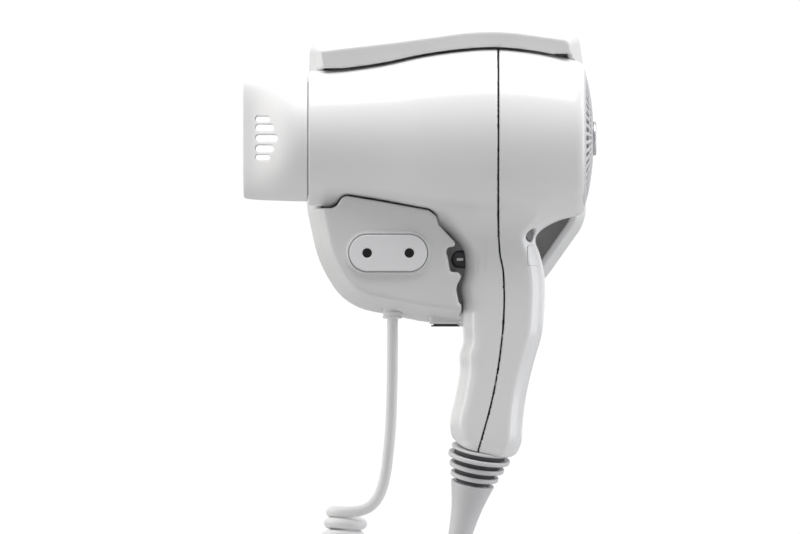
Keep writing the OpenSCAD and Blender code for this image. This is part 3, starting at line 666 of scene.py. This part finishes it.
def cool_frame(x, y, z):
    """Distance along the cool button's axis, and the two across it."""
    dx, dy = x - COOL_AT[0], y - COOL_AT[1]
    c, s = math.cos(COOL_TURN), math.sin(COOL_TURN)
    return dx * c + dy * s, -dx * s + dy * c, z - COOL_AT[2]


def trigger_room(x, y, z, grow):
    f = smax(np.abs(y + AXIS_OUT) - 5 - grow, np.abs(z - TRIGGER_Z) - 4 - grow, 1.0)
    return smax(f, np.abs(x - 8) - 8, 0.5)


def handset_wall(x, y, z):
    """The handset's wall, with its outlet, intake, trigger, cool button and boot openings."""
    outer = handset_solid(x, y, z)
    f = np.maximum(outer, -(outer + SHELL_WALL))
    f = smax(f, -np.maximum(from_axis(y, z) - OUTLET_R, np.abs(x + 62) - 5), 0.5)
    f = smax(f, -np.maximum(from_axis(y, z) - INTAKE_R, INTAKE_FACE - x), 0.5)
    f = smax(f, -trigger_room(x, y, z, 0.35), 0.7)
    along, u, v = cool_frame(x, y, z)
    f = smax(f, -np.maximum(np.hypot(u, v) - 3.0, -4 - along), 0.5)
    boot = np.maximum(np.hypot((x - 15.6) * 0.971 - (z + 124) * 0.239, y + AXIS_OUT) - 8.3, z + 116)
    return smax(f, -boot, 0.5)


def handset_front(x, y, z):
    outer = handset_solid(x, y, z)
    d = x - parting_x(z)
    part = np.minimum(d + SEAM_HALF, np.maximum(d - 0.8 * SEAM_HALF, outer + 1.1))
    f = smax(handset_wall(x, y, z), part, 0.35)
    r = from_axis(y, z)
    spigot = np.maximum(np.maximum(r - SPIGOT_R, OUTLET_R - r), np.abs(x + 64.4) - 3.6)
    return np.minimum(f, spigot)


def handset_rear(x, y, z):
    return smax(handset_wall(x, y, z), parting_x(z) + SEAM_HALF - x, 0.35)


def in_seam(x, y, z):
    """The lip inside the parting line, painted near-black as painted shade in the seam gap."""
    depth = handset_solid(x, y, z)
    return (np.abs(x - parting_x(z)) < 0.6) & (depth < -0.35) & (depth > -2.0)


front_shell = moulded("handset_front_shell", handset_front, (-75, -94, -131), (30, -6, 60), 0.8)
finished(front_shell, HANDSET, "handset", "handset_white", "front_housing")
second_material(front_shell, SEAM_GAP_SHADE, in_seam)
rear_shell = moulded("handset_rear_shell", handset_rear, (9, -94, -132), (66, -6, 60), 0.8)
finished(rear_shell, HANDSET, "handset", "handset_white", "rear_housing")
second_material(rear_shell, SEAM_GAP_SHADE, in_seam)

# ---------------------------------------------------------------- nozzle

NOZZLE_STOP = -68.3
half_height = Curve([[s[0], s[1]] for s in NOZZLE], soft=1.5)
half_depth = Curve([[s[0], s[2]] for s in NOZZLE], soft=2.0)


def oval(y, z, b, h, power):
    """About the distance to an oval that squares up as its power rises."""
    p, q = np.abs(y + AXIS_OUT) / b, np.abs(z - AXIS_UP) / h
    norm = (p ** power + q ** power + 1e-9) ** (1 / power)
    return (norm - 1) * np.minimum(b, h) * 0.9


def nozzle_field(x, y, z):
    b, h = half_depth(x), half_height(x)
    power = 2 / (1 - 0.45 * np.clip((h - b) / 20, 0, 1))
    f = smax(oval(y, z, b, h, power), np.abs(x + 76.8) - 14.6, 0.7)
    inner = oval(y, z, b - NOZZLE_WALL, h - NOZZLE_WALL, power)
    f = smax(f, -np.maximum(inner, x + 68), 0.8)
    f = smax(f, -np.maximum(from_axis(y, z) - SPIGOT_R - 0.3, NOZZLE_STOP - x), 0.5)
    for k in range(-2, 3):
        r = 1.3 if abs(k) == 2 else 1.65
        start, end = -85.8 + r, -75.6 - 1.75 * abs(k) - r
        away = np.maximum(np.abs(x - (end + start) / 2) - (end - start) / 2, 0)
        f = smax(f, r - np.hypot(away, z - AXIS_UP - k * (5.1 - 0.4 * abs(k))), 0.4)
    return f


nozzle = moulded("nozzle_shell", nozzle_field, (-93, -80, -14), (-60, -20, 46), 0.65)
finished(nozzle, NOZZLE_PLASTIC, "nozzle", "nozzle_white", "nozzle")

# ---------------------------------------------------------------- holder

holder_plan = Plan(HOLDER_CORNERS)
under_hood = [[-95, -95], [95, -95], [95, AXIS_UP + 34.6]]
under_hood += [[x, AXIS_UP + float(barrel_r(x)) + SEAT_GAP] for x in range(60, -60, -6)]
under_hood += [[BARREL_FRONT, AXIS_UP + 31.3], [-95, AXIS_UP + 31.3]]
hood_cut = Plan(under_hood, radius=400)
block_plan = Plan([[6.3, -95]] + BLOCK_EDGE[-2::-1] + [[-90, -95]], radius=1.6)
screw_spots = ((-45.5, -21), (-9, -50))


def drafted(x, y, z):
    """The holder's outline with its draft: distance to it, and the reach from the wall."""
    reach = -y
    inset = 3.6 * np.clip(reach / TRAY_DEPTH, 0, 1) + 0.082 * np.maximum(reach - TRAY_DEPTH, 0)
    inset = inset - 0.04 * np.maximum(reach - TRAY_DEPTH, 0) * np.clip((z - 48) / 8, 0, 1)
    return (holder_plan(x, z) + inset) * 0.99, reach


def holder_field(x, y, z):
    """The tray and the hood as one moulding, with the openings for gland and rocker."""
    o, reach = drafted(x, y, z)
    tray = smax(smax(o, reach - TRAY_DEPTH, 1.6), -reach, 0.5)
    hollow = np.maximum(np.maximum(o + HOLDER_WALL, reach - TRAY_DEPTH + 2), FLOOR_FRONT - reach)
    flat = holder_plan(x, z)
    tray = np.maximum(tray, -hollow)
    tray = np.maximum(tray, -np.maximum(flat + 3.6, reach - 3))
    tray = smax(tray, -np.maximum(o + RIM_WIDTH, TRAY_DEPTH - 5 - reach), 1.0)
    hood = smax(o, reach - HOOD_REACH, 1.4)
    hood = smax(hood, -hood_cut(x, z), 0.45)
    hood = np.maximum(hood, TRAY_DEPTH - 1 - reach)
    hood = np.maximum(hood, -np.maximum(o + HOLDER_WALL, reach - HOOD_REACH + HOLDER_WALL))
    f = np.minimum(tray, hood)
    boss = smax(np.abs(x - ROCKER_X) - 7.3, np.abs(reach - 14.4) - 8.9, 2.0)
    f = np.minimum(f, smax(boss, np.abs(z + 64.8) - 2.9, 0.8))
    f = smax(f, -np.maximum(from_axis(np.maximum(y, -AXIS_OUT), z) - 31.5, np.abs(x + 59.2) - 10.8), 0.8)
    f = smax(f, -np.maximum(from_axis(np.maximum(y, -AXIS_OUT), z) - 38.1, 49 - x), 0.8)
    f = smax(f, -(np.hypot(x + 36, z + 22) - 6), 0.5)
    f = smax(f, -np.maximum(np.hypot(x - GLAND_X, y - GLAND_Y) - 4.5, z + 56), 0.5)
    rocker = np.maximum(np.maximum(np.abs(x - ROCKER_X) - 5.6, np.abs(y - ROCKER_Y) - 7), z + 60)
    return smax(f, -rocker, 0.5)


holder = moulded("holder_moulding", holder_field, (-66, -62.5, -72), (66, 1.5, 73), 1.0)
finished(holder, HOLDER, "root", "holder_white", "tray_shell", "hood_shell")
# painted shade: the tray floor's front face is a touch darker than the rest of the moulding, and matt
second_material(holder, TRAY_FLOOR_SHADE, lambda x, y, z: (-y < FLOOR_FRONT + 0.4) & (-y > FLOOR_FRONT - 0.4)
                & (holder_plan(x, z) < -HOLDER_WALL))


def stadium(x, z, length, height):
    """Distance to a stadium round the socket's middle."""
    r = height / 2
    return np.hypot(np.maximum(np.abs(x - SOCKET_X) - (length / 2 - r), 0), z - SOCKET_Z) - r


def block_field(x, y, z):
    """The socket block, with its ring, skirt and two screw bosses."""
    o, reach = drafted(x, y, z)
    edge = block_plan(x, z)
    f = smax(o, reach - BLOCK_REACH, 2.4)
    f = smax(f, smax(edge, reach - BLOCK_REACH, 2.4), 1.5)
    f = np.maximum(f, TRAY_DEPTH - reach)
    core = np.maximum(np.maximum(o, edge) + HOLDER_WALL, reach - BLOCK_REACH + HOLDER_WALL)
    f = np.maximum(f, -core)
    skirt = np.maximum(np.maximum(o + 9.4, edge), -(edge + HOLDER_WALL))
    skirt = np.maximum(skirt, np.maximum(FLOOR_FRONT - reach, reach - TRAY_DEPTH - 1))
    f = np.minimum(f, skirt)
    ring = smax(stadium(x, z, 37.6, 19.3), np.abs(reach - BLOCK_REACH + 0.4) - 1.6, 0.9)
    f = smin(f, ring, 0.5)
    hole = np.maximum(stadium(x, z, 35.5, 17), BLOCK_REACH - 8 - reach)
    f = smax(f, -hole, 0.5)
    for px, pz in screw_spots:
        boss = np.hypot(x - px, z - pz)
        post = np.maximum(np.maximum(boss - 3.2, FLOOR_FRONT - reach), reach - BLOCK_REACH + 1.5)
        f = np.minimum(f, post)
        f = np.maximum(f, -np.maximum(boss - 1.5, reach - 20))
    return f


block = moulded("socket_cover", block_field, (-60, -72, -69), (9, -4, -7), 0.75)
finished(block, HOLDER, "root", "holder_white", "front_cover")


def hole_distance(x, z):
    """How far a point is from the nearer hole's axis."""
    return np.hypot(np.abs(x - SOCKET_X) - SOCKET_PITCH / 2, z - SOCKET_Z)


def insert_field(x, y, z):
    reach = -y
    f = smax(stadium(x, z, 35.1, 16.6), np.abs(reach - 67.9) - 2.9, 0.8)
    f = np.minimum(f, np.maximum(stadium(x, z, 39, 18.6), np.abs(reach - 65.6) - 0.6))
    return smax(f, SOCKET_HOLE_R - hole_distance(x, z), 0.5)


insert = moulded("socket_face", insert_field, (-47, -72, -46), (-5, -63, -25), 0.45)
finished(insert, INSERT, "root", "insert_white", "socket_insert")


# painted shade: dark discs behind the socket's holes make the holes read black
def hole_shade_field(x, y, z):
    return smax(hole_distance(x, z) - 3.2, np.abs(-y - 64.75) - 0.15, 0.1)


hole_shade_discs = moulded("socket_hole_shade_discs", hole_shade_field, (-40, -65.4, -40), (-12, -64, -31), 0.3)
finished(hole_shade_discs, DARK_AND_HOLE_SHADE, "root", "dark_plastic")


def gland_field(x, y, z):
    r = np.hypot(x - GLAND_X, y - GLAND_Y)
    body = smax(r - 4.35 + 0.35 * smax(np.sin((z + 60) * 3.0), -0.2, 0.3), np.abs(z + 61.05) - 4.2, 0.8)
    body = np.minimum(body, smax(r - 6, np.abs(z + 57.5) - 0.7, 0.4))
    return smax(body, CORD_D / 2 + 0.05 - r, 0.5)


gland = moulded("cord_gland", gland_field, (-31, -21, -67), (-17, -7, -56), 0.3)
finished(gland, GLAND, "root", "gland_white", "cable_gland")

# ---------------------------------------------------------------- grille and cap

SLOTS = 44
DOME = [[0, 66.3], [7.9, 66.3], [15, 65.7], [24, 64.3], [28.6, 63.1], [31.2, 62.4]]
dome = Curve(DOME, soft=1.5)


def grille_field(x, y, z):
    r = from_axis(y, z)
    f = smax(x - dome(r), dome(r) - 2.1 - x, 0.5)
    skirt = smax(np.abs(r - 29.9) - 1.3, np.abs(x - 60.2) - 2.0, 0.4)
    f = np.minimum(smax(f, r - 31.2, 0.6), skirt)
    turn = np.arctan2(z - AXIS_UP, y + AXIS_OUT) * SLOTS / (2 * math.pi)
    slot = np.abs(turn - np.round(turn)) * 2 * math.pi * r / SLOTS - 0.5 - 0.035 * (r - 12)
    slot = np.maximum(slot, np.abs(r - 20.4) - 8.1)
    for ring in (16.6, 21.6):
        slot = np.maximum(slot, 0.55 - np.abs(r - ring))
    return smax(f, -slot, 0.35)


grille = moulded("rear_grille_ribs", grille_field, (57, -83, -17), (68, -17, 49), 0.5)
finished(grille, GRILLE, "handset", "grille_grey", "rear_grille")


def cap_field(x, y, z):
    r = from_axis(y, z)
    face = 67.7 - 0.06 * (1 + np.cos(r * 2.4))
    return smax(smax(r - 7.7, x - face, 0.7), 66.3 - x, 0.2)


cap = moulded("turned_cap", cap_field, (65.6, -59, 7), (68.4, -41, 25), 0.3)
finished(cap, CAP, "handset", "cap_chrome", "grille_cap")

# ---------------------------------------------------------------- buttons


def trigger_field(x, y, z):
    across, up = np.abs(y + AXIS_OUT), np.abs(z - TRIGGER_Z)
    f = smax(smax(across - 5, up - 4, 2.4), 2.3 + 0.12 * up * up - x, 1.6)
    f = smax(f, x - 10.6, 0.4)
    f = np.minimum(f, smax(smax(across - 6.2, up - 5.2, 0.8), np.abs(x - 11.1) - 0.7, 0.4))
    f = np.minimum(f, smax(smax(np.abs(x - 6.3) - 1.45, up - 0.6, 0.2), np.abs(across - 4.3) - 1.0, 0.2))
    return smax(f, -np.maximum(np.hypot(y + AXIS_OUT, z - TRIGGER_Z) - 2.8, 8.6 - x), 0.3)


trigger = moulded("trigger_key", trigger_field, (1.6, -57, -44.5), (12.6, -43, -32.5), 0.3)
finished(trigger, BUTTON, "trigger", "button_dark", "trigger_button")
# the tip of the little ridge across the trigger is painted white
second_material(trigger, RIDGE_TIP_WHITE, lambda x, y, z: (np.abs(z - TRIGGER_Z) < 0.62) & (np.abs(x - 6.3) < 1.5)
                & (np.abs(y + AXIS_OUT) > 5.0))


def cool_field(x, y, z):
    along, u, v = cool_frame(x, y, z)
    r = np.hypot(u, v)
    f = smax(smax(r - 2.7, along, 0.7), -4.6 - along, 0.2)
    f = smax(f, -(np.hypot(r, along - 5.0) - 5.5), 0.4)
    return np.minimum(f, smax(r - 3.6, np.abs(along + 4.1) - 0.5, 0.2))


COOL_ROOM = 6.0
cool = moulded("cool_key", cool_field, COOL_AT - COOL_ROOM, COOL_AT + COOL_ROOM, 0.25)
finished(cool, COOL, "cool", "button_dark", "cool_button")


def panel_field(x, y, z):
    """A thin raised patch on the bevel below the cool button."""
    outer = handset_solid(x, y, z)
    away = np.hypot(np.maximum(np.abs(x - 39.6) - 1.9, 0), np.maximum(np.abs(z + 36.7) - 3.7, 0)) - 1.0
    return smax(smax(away, np.abs(outer) - 0.3, 0.25), y + 58, 0.1)


panel = moulded("bevel_patch", panel_field, (36, -68, -42.5), (43.5, -55, -31), 0.25)
finished(panel, HANDSET, "handset", "handset_white")


def line_field(x, y, z):
    """Two thin upright ridges on the handle's side, the rear one a little longer."""
    away = np.minimum(np.maximum(np.abs(x - 18.2) - 0.14, np.abs(z + 36.8) - 7.1),
                      np.maximum(np.abs(x - 14.6) - 0.12, np.abs(z + 39.4) - 4.8))
    return smax(smax(away, np.abs(handset_solid(x, y, z)) - 0.2, 0.1), y + 60, 0.1)


lines = moulded("handle_ridges", line_field, (13.8, -67, -44.6), (19, -63, -29), 0.16)
finished(lines, HANDSET, "handset", "handset_white")

# ---------------------------------------------------------------- boot

BOOT_TOP = np.array([16.4, -AXIS_OUT, -121.5])
boot_up = (BOOT_TOP - BOOT_TIP) / np.linalg.norm(BOOT_TOP - BOOT_TIP)
boot_side = np.array([boot_up[2], 0, -boot_up[0]])
BOOT_LENGTH = float(np.linalg.norm(BOOT_TOP - BOOT_TIP))
BOOT_RINGS = [[53.2, 14.0], [49.2, 12.4], [45.2, 10.9]]
CONE_TOP, COLLAR = 42.1, 57.5
cone = Curve([[-2, 4], [0, 4], [10, 4.6], [18, 5.3], [28, 6.5], [36, 8.2], [44, 10.5]], soft=1.5)


def boot_frame(x, y, z):
    """Height up the boot's axis, drooping towards the front, and the distance from the axis."""
    dx, dy, dz = x - BOOT_TIP[0], y - BOOT_TIP[1], z - BOOT_TIP[2]
    up = dx * boot_up[0] + dz * boot_up[2]
    side = dx * boot_side[0] + dz * boot_side[2]
    share = np.clip((up - 28) / 8, 0, 1)
    return up - share * (DROOP * dy + 0.06 * side), np.hypot(dy, side), up


def boot_neck(u):
    return 7.9 + 0.285 * (u - 43.2)


def boot_field(x, y, z):
    u, r, up = boot_frame(x, y, z)
    f = smax(smax(r - cone(u), u - CONE_TOP, 0.6), -up, 0.8)
    f = np.minimum(f, np.maximum(np.maximum(r - boot_neck(u), u - COLLAR), 40 - u) * 0.95)
    for height, radius in BOOT_RINGS:
        f = np.minimum(f, smax(r - radius, np.abs(u - 0.2 * (r - 10) - height) - 1.05, 0.7) * 0.95)
    f = np.minimum(f, smax(r - 13.4, np.abs(u - COLLAR) - 0.6, 0.6))
    f = np.minimum(f, smax(r - 7.8, np.abs(up - BOOT_LENGTH + 2.5) - 3.5, 0.5))
    bore = np.hypot(x - BOOT_TIP[0], y - BOOT_TIP[1]) - CORD_D / 2 - 0.1
    return smax(f, -np.maximum(bore, z - BOOT_TIP[2] - 3), 0.3)


# painted shade: the boot's neck between its rings is painted near-black
def in_groove(x, y, z):
    u, r, _ = boot_frame(x, y, z)
    return (r < boot_neck(u) + 0.35) & (u > CONE_TOP + 0.1) & (u < COLLAR - 0.7)


boot = moulded("cord_boot_rings", boot_field, (-4, -64, -182), (30, -36, -119), 0.45)
finished(boot, BOOT, "handset", "boot_grey", "cord_boot")
second_material(boot, GROOVE_SHADE, in_groove)
